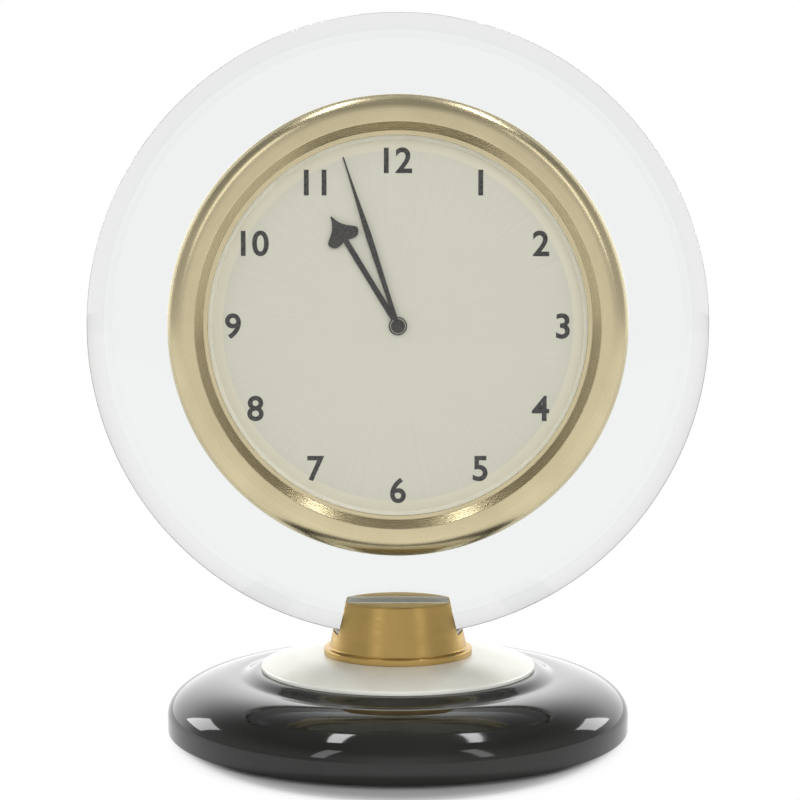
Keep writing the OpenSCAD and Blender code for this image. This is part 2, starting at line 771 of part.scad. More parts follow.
// Two ribs in the battery bay that the cell lies on
module cell_cradle() {
    difference() {
        for (side = [-1, 1])
            block(span(side * cradle_x, cradle_w / 2),
                [housing_bottom_y + housing_wall / 2, train_bottom_y - partition_t / 2],
                [cell_f, front_in + housing_wall / 2]);
        translate([0, cell_y, cell_f]) along_x(-housing_half_w, housing_half_w, cell_r + run_gap);
    }
}
module movement_rear() {
    color("#dcdcd6") at_dial() difference() {
        union() {
            housing_outline(0, rear_out, rear_in, [train_bottom_y - partition_t, movement_top]);
            for (p = post_places) at(p) rod(post_r, rear_in, plate_bottom);
            rod(3 * arbor_r, rear_in, third_wheel_bottom - 2 * pinion_over);
            at(third_at) rod(3 * arbor_r, rear_in, third_wheel_bottom - 4 * pinion_over);
            at(rotor_at) rod(3 * arbor_r, rear_in, rotor_shelf);
            for (x = stake_x) at([x, core_y]) {
                rod(2 * stake_r, rear_in, core_bottom);
                rod(stake_r, rear_in, stator_top + stake_over);
            }
            for (p = board_posts) at(p) {
                rod(2 * stake_r, rear_in, board_back);
                rod(stake_r, rear_in, board_front + stake_over);
            }
        }
        for (p = post_places) at(p) rod(housing_screw_r + run_gap, rear_out - cut, plate_bottom + cut);
        rod(centre_tail_r + run_gap, centre_tail_end - run_gap, 0);
        at(third_at) rod(arbor_r + run_gap, third_tail_end - run_gap, 0);
        at(rotor_at) rod(rotor_pivot_r + run_gap, rotor_tail_end - run_gap, 0);
        at(setting_at) rod(setting_r + run_gap, rear_out - cut, rear_in + cut);
    }
}
module middle_plate() {
    xs = [for (p = post_places) p[0]];
    ys = [for (p = post_places) p[1]];
    color("#c9c9c2") at_dial() difference() {
        block([min(xs) - plate_margin, max(xs) + plate_margin],
            [min(ys) - plate_margin, max(ys) + plate_margin], [plate_bottom, plate_top]);
        rod(centre_r + run_gap, plate_bottom - cut, plate_top + cut);
        for (p = [minute_wheel_at, third_at]) at(p) rod(arbor_r + run_gap, plate_bottom - cut, plate_top + cut);
        at(rotor_at) rod(rotor_pivot_r + run_gap, plate_bottom - cut, plate_top + cut);
        at(setting_at) rod(setting_r + pass_gap, plate_bottom - cut, plate_top + cut);
        for (p = post_places) at(p) rod(housing_screw_r + run_gap, plate_bottom - cut, plate_top + cut);
    }
}
module movement_screws() {
    color("#b0b0ac") at_dial() for (p = post_places) at(p) difference() {
        union() {
            rod(housing_head_r, rear_out - housing_head_h, rear_out);
            rod(housing_screw_r, rear_out - housing_head_h, housing_screw_end);
        }
        block([-housing_head_r, housing_head_r], [-groove_r / 2, groove_r / 2],
            [rear_out - housing_head_h - cut, rear_out - housing_head_h / 2]);
    }
}

// Motion work and drive train
centre_tail_r = 0.45;
centre_tail_l = 2;
centre_tail_end = third_wheel_bottom - centre_tail_l;
third_tail_l = 2.2;
third_tail_end = third_wheel_bottom - third_tail_l;
rotor_pivot_r = 0.4;
rotor_shelf = magnet_top - magnet_l - layer_gap;
rotor_tail_l = 0.8;
rotor_tail_end = rotor_shelf - rotor_tail_l;
hub_r = 1.5;
module centre_arbor() {
    color("#c8c8c4") at_dial() {
        rod(centre_r, centre_wheel_bottom - pass_gap, cannon_front);
        rod(centre_tail_r, centre_tail_end, centre_wheel_bottom - pass_gap);
    }
}
module bored_gear(m, teeth, phase, low, high, hole_r) {
    difference() {
        gear(m, teeth, phase, low, high);
        rod(hole_r, low - cut, high + cut);
    }
}
module centre_wheel() {
    color("#e9e4cf") at_dial()
        bored_gear(train_module, centre_teeth, 0, centre_wheel_bottom, centre_wheel_top, centre_r + fix_gap);
}
module cannon_pinion() {
    color("#d9b45a") at_dial() difference() {
        union() {
            gear(motion_module, cannon_teeth, 0, minute_wheel_bottom - pinion_over, minute_wheel_top + pinion_over);
            rod(cannon_r, minute_wheel_top + pinion_over, cannon_front);
        }
        rod(centre_r + fix_gap, minute_wheel_bottom - cut, cannon_front + cut);
    }
}
module minute_wheel() {
    color("#e9e4cf") at_dial() at(minute_wheel_at) {
        gear(motion_module, minute_wheel_teeth, minute_wheel_phase, minute_wheel_bottom, minute_wheel_top);
        gear(motion_module, minute_pinion_teeth, minute_pinion_phase, minute_wheel_top, front_in - end_shake);
        rod(arbor_r, front_in - end_shake, front_in + housing_wall / 2);
        rod(arbor_r, plate_bottom, minute_wheel_bottom);
    }
}
module hour_wheel() {
    color("#e9e4cf") at_dial() difference() {
        union() {
            gear(motion_module, hour_teeth, 0, hour_wheel_bottom, hour_wheel_top);
            rod(hour_pipe_r, hour_wheel_top, hour_front + run_gap);
        }
        rod(cannon_r + run_gap, hour_wheel_bottom - cut, hour_front + cut);
    }
}
module third_arbor() {
    color("#c8c8c4") at_dial() at(third_at) {
        gear(train_module, third_pinion_teeth, third_pinion_phase,
            centre_wheel_bottom - pinion_over, centre_wheel_top + pinion_over);
        rod(arbor_r, centre_wheel_top + pinion_over, plate_top);
        rod(arbor_r, third_tail_end, centre_wheel_bottom - pinion_over);
    }
}
module third_wheel() {
    color("#e9e4cf") at_dial() at(third_at) difference() {
        union() {
            gear(train_module, third_teeth, 0, third_wheel_bottom, third_wheel_top);
            rod(hub_r, third_wheel_bottom, centre_wheel_bottom - 2 * pinion_over);
        }
        rod(arbor_r + fix_gap, third_wheel_bottom - cut, centre_wheel_bottom);
    }
}
module rotor_arbor() {
    color("#e9e4cf") at_dial() at(rotor_at) {
        gear(train_module, rotor_teeth, rotor_phase, third_wheel_bottom - pinion_over, third_wheel_top + pinion_over);
        rod(rotor_pivot_r, third_wheel_top + pinion_over, plate_top);
        rod(arbor_r, rotor_shelf + end_shake, third_wheel_bottom - pinion_over);
        rod(rotor_pivot_r, rotor_tail_end, rotor_shelf + end_shake);
    }
}
module rotor_magnet() {
    color("#4a4a4c") at_dial() at(rotor_at) tube(magnet_r, arbor_r + fix_gap, magnet_top - magnet_l, magnet_top);
}

// Stepping motor and electronics
stake_x = [stator_frame[0] + stator_yoke_w / 2, stator_frame[1] - stator_yoke_w / 2];
module stator() {
    top_y = core_y + core_w / 2;
    color("#9a9a9c") at_dial() difference() {
        union() {
            block(stator_frame, stator_lower_y, [stator_bottom, stator_top]);
            block(stator_block_x, span(rotor_at[1], stator_block_half_w), [stator_bottom, stator_top]);
            for (x = stake_x)
                block(span(x, stator_yoke_w / 2), [stator_lower_y[0], top_y], [stator_bottom, stator_top]);
        }
        at(rotor_at) rod(stator_hole_r, stator_bottom - cut, stator_top + cut);
        for (x = stake_x) at([x, core_y]) rod(stake_r + run_gap, stator_bottom - cut, stator_top + cut);
    }
}
module coil_core() {
    color("#8c8c90") at_dial() difference() {
        block(stator_frame, span(core_y, core_w / 2), [core_bottom, stator_bottom]);
        for (x = stake_x) at([x, core_y]) rod(stake_r + run_gap, core_bottom - cut, stator_bottom + cut);
    }
}
module coil_bobbin() {
    half_w = core_w / 2 + core_room;
    half_t = stator_t / 2 + core_room;
    color("#3f6f4a") at_dial() translate([0, core_y, core_f]) difference() {
        union() {
            along_x(coil_x[0], coil_x[1], bobbin_r);
            along_x(coil_x[0], coil_x[0] + bobbin_flange_t, bobbin_flange_r);
            along_x(coil_x[1] - bobbin_flange_t, coil_x[1], bobbin_flange_r);
        }
        block([coil_x[0] - cut, coil_x[1] + cut], [-half_w, half_w], [-half_t, half_t]);
    }
}
module coil_winding() {
    low = coil_x[0] + bobbin_flange_t + fix_gap;
    high = coil_x[1] - bobbin_flange_t - fix_gap;
    color("#b06a3c") at_dial() translate([0, core_y, core_f]) difference() {
        along_x(low, high, winding_r);
        along_x(low - cut, high + cut, bobbin_r + fix_gap);
    }
}
module circuit_board() {
    color("#2f6b45") at_dial() difference() {
        block(board_x, board_y, [board_back, board_front]);
        for (p = board_posts) at(p) rod(stake_r + run_gap, board_back - cut, board_front + cut);
    }
}
module timing_chip() {
    color("#1e1e1e") at_dial() at(chip_at)
        block([-chip_size[0] / 2, chip_size[0] / 2], [-chip_size[1] / 2, chip_size[1] / 2],
            [board_front, board_front + chip_size[2]]);
}
module quartz_crystal() {
    color("#c4c6c8") at_dial() translate([crystal_at[0], crystal_at[1], board_front + crystal_r])
        rotate([0, 0, 90]) along_x(0, crystal_l, crystal_r);
}
module battery() {
    color("#4b4f55") at_dial() translate([0, cell_y, cell_f]) {
        along_x(-cell_l / 2, cell_l / 2 - button_l, cell_r);
        along_x(cell_l / 2 - button_l, cell_l / 2, button_r);
    }
}
module contact_plate(side) {
    mirror([side < 0 ? 1 : 0, 0, 0])
        block([bay_half_l - contact_t, bay_half_l], [-contact_half_w, contact_half_w], [-contact_half_w, contact_half_w]);
}
module battery_contact() {
    color("#c8c8c0") at_dial() translate([0, cell_y, cell_f]) {
        contact_plate(1);
        along_x(cell_l / 2 + fix_gap, bay_half_l - contact_t, button_r);
    }
}
// Bowed leaf that presses on the flat end of the battery
module battery_spring() {
    reach = bay_half_l - cell_l / 2 - fix_gap;
    color("#c8c8c0") at_dial() translate([0, cell_y, cell_f]) {
        contact_plate(-1);
        intersection() {
            translate([-bay_half_l, 0, 0]) tube(reach, reach - contact_t, -contact_half_w, contact_half_w);
            block([-bay_half_l + contact_t, 0], [-reach, reach], [-contact_half_w, contact_half_w]);
        }
    }
}

base();
top_plate();
foot_pad();
base_screw();
base_washer();
neck();
glass_liner();
glass_disc();
bezel();
lens();
lens_gasket();
dial_ring();
dial();
hour_hand();
minute_hand();
hand_cap();
case_drum();
grip_ring();
back_cover();
cover_screws();
battery_door();
setting_knob();
setting_shaft();
movement_front();
movement_rear();
middle_plate();
movement_screws();
centre_arbor();
centre_wheel();
cannon_pinion();
minute_wheel();
hour_wheel();
third_wheel();
third_arbor();
rotor_magnet();
rotor_arbor();
stator();
coil_core();
coil_bobbin();
coil_winding();
circuit_board();
quartz_crystal();
timing_chip();
battery();
battery_spring();
battery_contact();
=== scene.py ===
"""Looks of a desk clock: a glass disc in a slotted neck on a turned base, with a quartz insert.

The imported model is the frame. Lengths of pieces are in millimetres until a point is placed in it.
The stage round it is in metres.
"""

import json
import math

import bmesh
import bpy
from mathutils import Matrix, Vector


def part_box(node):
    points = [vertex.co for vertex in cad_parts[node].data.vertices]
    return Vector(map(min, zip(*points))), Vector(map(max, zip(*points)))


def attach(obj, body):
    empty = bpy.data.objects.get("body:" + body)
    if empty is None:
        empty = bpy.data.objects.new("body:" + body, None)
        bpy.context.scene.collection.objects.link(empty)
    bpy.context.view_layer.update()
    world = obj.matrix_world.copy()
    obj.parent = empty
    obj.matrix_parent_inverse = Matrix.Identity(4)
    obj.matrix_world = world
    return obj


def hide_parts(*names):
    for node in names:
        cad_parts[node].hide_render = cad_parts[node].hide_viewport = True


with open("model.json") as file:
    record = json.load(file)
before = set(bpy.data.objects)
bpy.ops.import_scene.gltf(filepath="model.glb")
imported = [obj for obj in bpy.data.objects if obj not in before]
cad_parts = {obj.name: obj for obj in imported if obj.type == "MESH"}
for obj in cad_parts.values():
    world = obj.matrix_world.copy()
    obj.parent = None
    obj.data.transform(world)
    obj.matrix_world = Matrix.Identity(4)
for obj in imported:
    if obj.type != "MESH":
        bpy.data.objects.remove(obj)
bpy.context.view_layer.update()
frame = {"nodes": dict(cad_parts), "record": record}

MM = 0.001
DIAL_Z = 80.3
SHOWN_HOUR = 10
SHOWN_MINUTE = 57
WHITE = (1, 1, 1, 1)

# How finely pieces are drawn, and which edges stay crisp or get rounded
SEGMENTS = 192
DISC_SEGMENTS = 288
SLOT_SEGMENTS = 360
CAP_SEGMENTS = 64
FLOOR_SEGMENTS = 96
BOSS_STEPS = 48
SHARP_ANGLE = math.radians(32)
BEVEL_ANGLE = math.radians(40)
NEARLY_STRAIGHT = math.radians(89)
LEG_SHARE = 0.49
JOIN_GAP = 0.0001
WELD_GAP = 0.001
FINE_EDGE = 0.15
THIN_EDGE = 0.06


# Places. A turned piece has its radius in x and y and its height along its own axis.
def on_base(x, y, height):
    """A point that lies x and y from the base's upright axis."""
    return Vector((x, y, height)) * MM


def on_dial(x, y, forward):
    """A point as seen from the front: x right and y up from the dial's centre.

    forward counts from the middle of the disc's thickness towards the viewer.
    """
    return Vector((x, -forward, DIAL_Z + y)) * MM


# Outlines
def polar(radius, degrees):
    """The point at that radius and angle."""
    angle = math.radians(degrees)
    return radius * math.cos(angle), radius * math.sin(angle)


def sharp(points):
    """Corners that aren't rounded."""
    return [(x, y, 0) for x, y in points]


def rounded(corners, steps=5):
    """A closed outline from corners (x, y, radius), with a curve of about that radius at each."""
    outline = []
    for i, (x, y, radius) in enumerate(corners):
        corner = Vector((x, y))
        before = Vector(corners[i - 1][:2]) - corner
        after = Vector(corners[(i + 1) % len(corners)][:2]) - corner
        half = before.angle(after) / 2
        if radius == 0 or half > NEARLY_STRAIGHT:
            outline.append((x, y))
            continue
        reach = min(radius / math.tan(half), LEG_SHARE * before.length, LEG_SHARE * after.length)
        first = corner + before.normalized() * reach
        last = corner + after.normalized() * reach
        for k in range(steps + 1):
            t = k / steps
            point = first * (1 - t) ** 2 + corner * 2 * t * (1 - t) + last * t**2
            outline.append((point.x, point.y))
    return outline


def bezier(points, steps=24):
    """Points along a cubic curve."""
    found = []
    for k in range(steps + 1):
        t = k / steps
        weights = ((1 - t) ** 3, 3 * t * (1 - t) ** 2, 3 * t**2 * (1 - t), t**3)
        found.append(tuple(sum(w * p[i] for w, p in zip(weights, points)) for i in (0, 1)))
    return found


def quarter(middle, across, rise, steps=28):
    """A quarter of an ellipse, from its outer side to its top."""
    found = []
    for k in range(steps + 1):
        x, y = polar(1, 90 * k / steps)
        found.append((middle[0] + across * x, middle[1] + rise * y))
    return found


# Meshes
def add_object(name, data):
    """A new object in the scene."""
    obj = bpy.data.objects.new(name, data)
    bpy.context.scene.collection.objects.link(obj)
    return obj


def to_object(name, shape):
    """Turns a bmesh into a smooth object whose edges stay crisp."""
    bmesh.ops.recalc_face_normals(shape, faces=shape.faces)
    mesh = bpy.data.meshes.new(name)
    shape.to_mesh(mesh)
    shape.free()
    mesh.shade_smooth()
    mesh.set_sharp_from_angle(angle=SHARP_ANGLE)
    return add_object(name, mesh)


def to_shape(obj):
    """A bmesh of an object, curve or text with its modifiers applied. The object itself is removed."""
    bpy.context.view_layer.update()
    solved = obj.evaluated_get(bpy.context.evaluated_depsgraph_get())
    mesh = bpy.data.meshes.new_from_object(solved)
    bpy.data.objects.remove(obj)
    shape = bmesh.new()
    shape.from_mesh(mesh)
    bpy.data.meshes.remove(mesh)
    return shape


def lathe(name, outline, place, segments=SEGMENTS):
    """Turns an outline of (radius, height) about an axis. Points at radius 0 close the ends."""
    shape = bmesh.new()
    rings = []
    for radius, height in outline:
        count = segments if radius > 0 else 1
        around = [polar(radius, 360 * k / segments) for k in range(count)]
        rings.append([shape.verts.new(place(x, y, height)) for x, y in around])
    for lower, upper in zip(rings, rings[1:] + rings[:1]):
        if len(lower) == 1 and len(upper) == 1:
            continue
        for k in range(segments):
            after = (k + 1) % segments
            corners = [lower[k % len(lower)], lower[after % len(lower)]]
            corners += [upper[after % len(upper)], upper[k % len(upper)]]
            shape.faces.new(list(dict.fromkeys(corners)))
    return to_object(name, shape)


def plate(name, outlines, thickness, place):
    """A thin plate with softened edges, cut to the first outline, with the others as holes."""
    curve = bpy.data.curves.new(name, "CURVE")
    curve.dimensions = "2D"
    curve.fill_mode = "BOTH"
    curve.extrude = thickness / 2 - THIN_EDGE
    curve.bevel_depth = THIN_EDGE
    curve.bevel_resolution = 2
    curve.offset = -THIN_EDGE
    for outline in outlines:
        spline = curve.splines.new("POLY")
        spline.points.add(len(outline) - 1)
        for point, (x, y) in zip(spline.points, outline):
            point.co = (x, y, 0, 1)
        spline.use_cyclic_u = True
    shape = to_shape(add_object(name, curve))
    bmesh.ops.remove_doubles(shape, verts=shape.verts, dist=JOIN_GAP)
    for vertex in shape.verts:
        vertex.co = place(*vertex.co)
    return to_object(name, shape)


def bevel(obj, width):
    """Rounds the sharp edges of an object."""
    soft = obj.modifiers.new("edges", "BEVEL")
    soft.width = width * MM
    soft.segments = 2
    soft.limit_method = "ANGLE"
    soft.angle_limit = BEVEL_ANGLE


# Shader nodes
NOISE_LOW = 0.3
NOISE_HIGH = 0.7


def node(tree, kind, inputs=None, **settings):
    """Adds a shader node. An input is a number or colour, or a socket to link."""
    made = tree.nodes.new(kind)
    for name, value in settings.items():
        setattr(made, name, value)
    for name, value in (inputs or {}).items():
        if isinstance(value, bpy.types.NodeSocket):
            tree.links.new(value, made.inputs[name])
        else:
            made.inputs[name].default_value = value
    return made


def calc(tree, operation, *values):
    """What an operation makes of one or two numbers."""
    return node(tree, "ShaderNodeMath", dict(enumerate(values)), operation=operation).outputs[0]


def between(tree, value, first, last, start=0.0, end=1.0, smooth=False):
    """A number that goes from start, where a value is first, to end, where the value is last."""
    limits = {"Value": value, "From Min": first, "From Max": last, "To Min": start, "To Max": end}
    kind = "SMOOTHSTEP" if smooth else "LINEAR"
    return node(tree, "ShaderNodeMapRange", limits, interpolation_type=kind).outputs["Result"]


def position(tree):
    """The place of a surface point in the frame, in metres."""
    return node(tree, "ShaderNodeTexCoord").outputs["Object"]


def radius_of(tree, middle, across):
    """A point's distance from an axis through middle, with across as the weight of each direction."""
    offset = node(tree, "ShaderNodeVectorMath", {0: position(tree), 1: middle}, operation="SUBTRACT")
    flat = node(tree, "ShaderNodeVectorMath", {0: offset.outputs[0], 1: across}, operation="MULTIPLY")
    return node(tree, "ShaderNodeVectorMath", {0: flat.outputs[0]}, operation="LENGTH").outputs["Value"]


def noise(tree, where, scale, detail=3):
    """Noise from 0 to 1 with that many features to the metre."""
    found = node(tree, "ShaderNodeTexNoise", {"Vector": where, "Scale": scale, "Detail": detail})
    return found.outputs["Fac"]


def line_noise(tree, value, scale):
    """Noise along one number, for turned or rayed grain."""
    inputs = {"W": value, "Scale": scale, "Detail": 2}
    return node(tree, "ShaderNodeTexNoise", inputs, noise_dimensions="1D").outputs["Fac"]


def spread(tree, factor, low, high):
    """Maps the usual values of noise onto a range."""
    return between(tree, factor, NOISE_LOW, NOISE_HIGH, low, high)


def blend_colours(tree, factor, dark, light):
    """A colour between two, by a factor such as noise."""
    ramp = node(tree, "ShaderNodeValToRGB", {"Fac": factor})
    ramp.color_ramp.elements[0].position = NOISE_LOW
    ramp.color_ramp.elements[0].color = (*dark, 1)
    ramp.color_ramp.elements[1].position = NOISE_HIGH
    ramp.color_ramp.elements[1].color = (*light, 1)
    return ramp.outputs["Color"]


def shade(colour, factor):
    """A colour made darker or lighter."""
    return tuple(min(1.0, c * factor) for c in colour)


def mottled(tree, factor, colour, dark, light):
    """A colour that varies with noise, from its dark share to its light share."""
    return blend_colours(tree, factor, shade(colour, dark), shade(colour, light))


def mix_shaders(tree, share, first, second):
    """The first shader, replaced by the second one to a share from 0 to 1."""
    return node(tree, "ShaderNodeMixShader", {0: share, 1: first, 2: second}).outputs[0]


# Materials
DIAL_AXIS = ((0, 0, DIAL_Z * MM), (1, 0, 1))
UPRIGHT_AXIS = ((0, 0, 0), (1, 1, 0))
LATHE_RINGS = 5000
LATHE_DEPTH = 0.001
# Where the dial's rim is painted paler: painted light against the shade that the bezel casts there
PAINTED_LIGHT_EDGE_R = 34.3
PAINTED_LIGHT_EDGE_BLUR = 0.1


def new_material(name, **sockets):
    """A material with its Principled shader, whose plain values are set by name."""
    material = bpy.data.materials.new(name)
    material.use_nodes = True
    tree = material.node_tree
    shader = tree.nodes["Principled BSDF"]
    for key, value in sockets.items():
        shader.inputs[key.replace("_", " ")].default_value = value
    return material, tree, shader


def paint(tree, shader, tint, roughness):
    """Links a shader's colour and roughness."""
    tree.links.new(tint, shader.inputs["Base Color"])
    tree.links.new(roughness, shader.inputs["Roughness"])


def relief(tree, shader, height, depth):
    """Gives a shader bumps of that depth in millimetres."""
    bump = node(tree, "ShaderNodeBump", {"Height": height, "Distance": depth * MM, "Strength": 1.0})
    tree.links.new(bump.outputs["Normal"], shader.inputs["Normal"])


def grained(name, colour, roughness, scale, depth, contrast=0.1, stretch=(1, 1, 1), **sockets):
    """A moulded, pressed or brushed surface whose colour, gloss and relief vary with fine noise."""
    material, tree, shader = new_material(name, **sockets)
    where = node(tree, "ShaderNodeMapping", {"Vector": position(tree), "Scale": stretch}).outputs["Vector"]
    fine = noise(tree, where, scale)
    broad = noise(tree, where, scale / 15)
    tint = mottled(tree, broad, colour, 1 - contrast, 1 + contrast)
    paint(tree, shader, tint, spread(tree, fine, 0.85 * roughness, 1.15 * roughness))
    relief(tree, shader, fine, depth)
    return material


def turned_metal(name, colour, axis, roughness, metal=1.0):
    """Metal with the fine rings that a lathe leaves. Where it is bead-blasted, it counts as part metal."""
    material, tree, shader = new_material(name, Metallic=metal)
    grain = line_noise(tree, radius_of(tree, *axis), LATHE_RINGS)
    haze = noise(tree, position(tree), scale=90)
    tint = mottled(tree, haze, colour, dark=0.94, light=1.05)
    paint(tree, shader, tint, spread(tree, grain, 0.8 * roughness, 1.2 * roughness))
    relief(tree, shader, grain, LATHE_DEPTH)
    return material


def lacquer(name, colour):
    """Black gloss with a faint waviness and the haze of handling."""
    material, tree, shader = new_material(name, IOR=1.5)
    where = position(tree)
    haze = noise(tree, where, scale=60)
    tint = mottled(tree, haze, colour, dark=0.8, light=1.2)
    paint(tree, shader, tint, spread(tree, haze, low=0.04, high=0.09))
    relief(tree, shader, noise(tree, where, scale=220), depth=0.004)
    return material


def glass(name, tint, density, ior):
    """Clear glass that lets lamps through, with a tint that grows with its depth."""
    material, tree, shader = new_material(name, Base_Color=WHITE, IOR=ior, Transmission_Weight=1.0)
    smear = noise(tree, position(tree), scale=40)
    tree.links.new(spread(tree, smear, low=0.0, high=0.012), shader.inputs["Roughness"])
    through = node(tree, "ShaderNodeBsdfTransparent")
    lamp_ray = node(tree, "ShaderNodeLightPath").outputs["Is Shadow Ray"]
    mixed = mix_shaders(tree, lamp_ray, shader.outputs[0], through.outputs[0])
    depth = node(tree, "ShaderNodeVolumeAbsorption", {"Color": (*tint, 1), "Density": density})
    output = tree.nodes["Material Output"]
    tree.links.new(mixed, output.inputs["Surface"])
    tree.links.new(depth.outputs[0], output.inputs["Volume"])
    return material


def silvered(name, colour, edge):
    """Satin silver with a fine grain, faint rays from the dial's centre, and a paler edge that is painted
    light, lifting the shade that the bezel casts on the dial's rim.
    """
    material, tree, shader = new_material(name, Metallic=0.15)
    where = position(tree)
    upright = {"Vector": where, "Rotation": (-math.pi / 2, 0, 0), "Location": (0, -DIAL_Z * MM, 0)}
    facing = node(tree, "ShaderNodeMapping", upright).outputs[0]
    turn = node(tree, "ShaderNodeTexGradient", {"Vector": facing}, gradient_type="RADIAL")
    rays = line_noise(tree, turn.outputs["Fac"], scale=260)
    grain = noise(tree, where, scale=4000)
    middle = mottled(tree, rays, colour, dark=0.985, light=1.015)
    # The outer ring of the dial is painted paler, a painted light that offsets the bezel's shade on the
    # rim
    painted_light_from = (PAINTED_LIGHT_EDGE_R - PAINTED_LIGHT_EDGE_BLUR) * MM
    painted_light_full = (PAINTED_LIGHT_EDGE_R + PAINTED_LIGHT_EDGE_BLUR) * MM
    painted_light_band = between(tree, radius_of(tree, *DIAL_AXIS), painted_light_from, painted_light_full)
    colours = {0: painted_light_band, 6: middle, 7: (*edge, 1)}
    tint = node(tree, "ShaderNodeMix", colours, data_type="RGBA").outputs[2]
    paint(tree, shader, tint, spread(tree, grain, low=0.42, high=0.52))
    relief(tree, shader, grain, depth=0.006)
    return material


def felt(name, colour):
    """Pressed fibres with a soft sheen."""
    material, tree, shader = new_material(name, Roughness=0.95, Sheen_Weight=0.4)
    fibres = noise(tree, position(tree), scale=2600, detail=6)
    tint = mottled(tree, fibres, colour, dark=0.6, light=1.6)
    tree.links.new(tint, shader.inputs["Base Color"])
    relief(tree, shader, fibres, depth=0.12)
    return material


# The scale is in features to the metre, and the depth in millimetres.
GRAINED = {
    "steel": dict(colour=(0.56, 0.56, 0.55), roughness=0.28, scale=3000, depth=0.002, Metallic=1.0),
    "clear_cushion": dict(
        colour=(0.80, 0.78, 0.70),
        roughness=0.35,
        scale=900,
        depth=0.01,
        contrast=0.04,
        Transmission_Weight=0.5,
    ),
    "pale_rubber": dict(colour=(0.75, 0.72, 0.62), roughness=0.6, scale=1500, depth=0.01),
    "ring_silver": dict(
        colour=(0.93, 0.9, 0.76), roughness=0.4, scale=3000, depth=0.002, contrast=0.03
    ),
    "hand_black": dict(
        colour=(0.018, 0.017, 0.014), roughness=0.28, scale=1800, depth=0.002, contrast=0.25
    ),
    "black_plastic": dict(
        colour=(0.028, 0.028, 0.028), roughness=0.5, scale=3200, depth=0.02, contrast=0.12
    ),
    "white_plastic": dict(
        colour=(0.78, 0.78, 0.75), roughness=0.45, scale=2200, depth=0.008, contrast=0.03
    ),
    "wheel_plastic": dict(
        colour=(0.82, 0.79, 0.68), roughness=0.35, scale=2000, depth=0.004, contrast=0.03
    ),
    "brass": dict(
        colour=(0.72, 0.52, 0.2), roughness=0.25, scale=2500, depth=0.002, contrast=0.06, Metallic=1.0
    ),
    "magnet": dict(
        colour=(0.1, 0.1, 0.11), roughness=0.5, scale=5000, depth=0.01, contrast=0.15, Metallic=1.0
    ),
    "bobbin_green": dict(colour=(0.05, 0.18, 0.08), roughness=0.45, scale=1800, depth=0.006),
    "copper": dict(
        colour=(0.45, 0.2, 0.09),
        roughness=0.3,
        scale=900,
        depth=0.05,
        contrast=0.15,
        stretch=(12, 1, 1),
        Metallic=1.0,
    ),
    "board_green": dict(colour=(0.03, 0.16, 0.07), roughness=0.4, scale=1600, depth=0.006),
    "can_metal": dict(colour=(0.6, 0.61, 0.62), roughness=0.25, scale=2500, depth=0.002, Metallic=1.0),
    "cell_jacket": dict(
        colour=(0.09, 0.1, 0.12), roughness=0.35, scale=1200, depth=0.003, Metallic=0.6
    ),
}
FINISHES = {slot: grained(slot, **look) for slot, look in GRAINED.items()}
FINISHES["black_lacquer"] = lacquer("black_lacquer", (0.010, 0.010, 0.009))
FINISHES["plate_silver"] = turned_metal("plate_silver", (0.84, 0.84, 0.78), UPRIGHT_AXIS, 0.42, metal=0.5)
FINISHES["felt"] = felt("felt", (0.02, 0.02, 0.02))
FINISHES["gold"] = turned_metal("gold", (0.65, 0.565, 0.36), DIAL_AXIS, 0.26)
FINISHES["disc_glass"] = glass("disc_glass", (0.89, 0.905, 0.90), density=120, ior=1.5)
FINISHES["lens_glass"] = glass("lens_glass", (0.93, 0.94, 0.93), density=30, ior=1.3)
# edge is the paler rim colour of the dial: painted light that offsets the bezel's shade
FINISHES["dial_silver"] = silvered("dial_silver", (0.66, 0.65, 0.545), edge=(0.74, 0.71, 0.56))

# The neck has two golds of its own: its turned side, and the top that the slot leaves.
NECK_GOLD = turned_metal("neck_gold", (0.52, 0.352, 0.12), UPRIGHT_AXIS, 0.38)
NECK_CUT = grained(
    "neck_cut",
    (0.46, 0.36, 0.17),
    roughness=0.7,
    scale=1500,
    depth=0.01,
    contrast=0.15,
    stretch=(1, 6, 1),
    Metallic=1.0,
    Specular_Tint=(1.0, 0.86, 0.6, 1),
)

# Every node of the frame takes the finish of its slot.
for part in frame["record"]["subparts"]:
    held = frame["nodes"][part["node"]].data.materials
    held.clear()
    held.append(FINISHES[part["material_slot"]])


def finish_piece(obj, body, slot, *nodes, material=None):
    """Gives a piece the material of its slot, parents it to its body and hides the nodes that it stands
    for.
    """
    obj.data.materials.clear()
    obj.data.materials.append(material or FINISHES[slot])
    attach(obj, body)
    if nodes:
        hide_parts(*nodes)
    return obj


# Base, its plate and its felt
BASE_R = 45.8
BASE_BOTTOM = 0.4
BASE_EDGE = 0.6
SIDE_TOP = 3.8
STEP_R = 32.5
STEP_Z = 10.9
RISE_R = 31.7
RISE_W = 3.9
BASE_TOP = 12.1
POCKET_R = 5.8
POCKET_TOP = 6.0
SCREW_HOLE_R = 2.8
SOCKET_R = 6.05
SOCKET_Z = 9.7
PLATE_R = 27.3
PLATE_EDGE_Z = 12.9
PLATE_EDGE = 0.35
CROWN_R = 15.6
SEAT_Z = 15.0
PAD_R = 40.8
PAD_T = 1.2
PAD_FOOT_EDGE = 0.3
PAD_TOP_EDGE = 0.2
RECESS_R = PAD_R + 0.3


def rise(steps=14):
    """The hollow and round slope from the base's step up to the plate."""
    found = []
    for k in range(steps + 1):
        t = k / steps
        lift = (1 - math.cos(math.pi * t)) / 2
        found.append((RISE_R - RISE_W * t, STEP_Z + (BASE_TOP - STEP_Z) * lift))
    return found


def crown(steps=12):
    """The plate's face, from its edge up to the seat of the neck."""
    found = []
    for k in range(1, steps + 1):
        t = 1 - k / steps
        lift = 1 - t * t
        found.append((CROWN_R + (PLATE_R - CROWN_R) * t, PLATE_EDGE_Z + (SEAT_Z - PLATE_EDGE_Z) * lift))
    return found


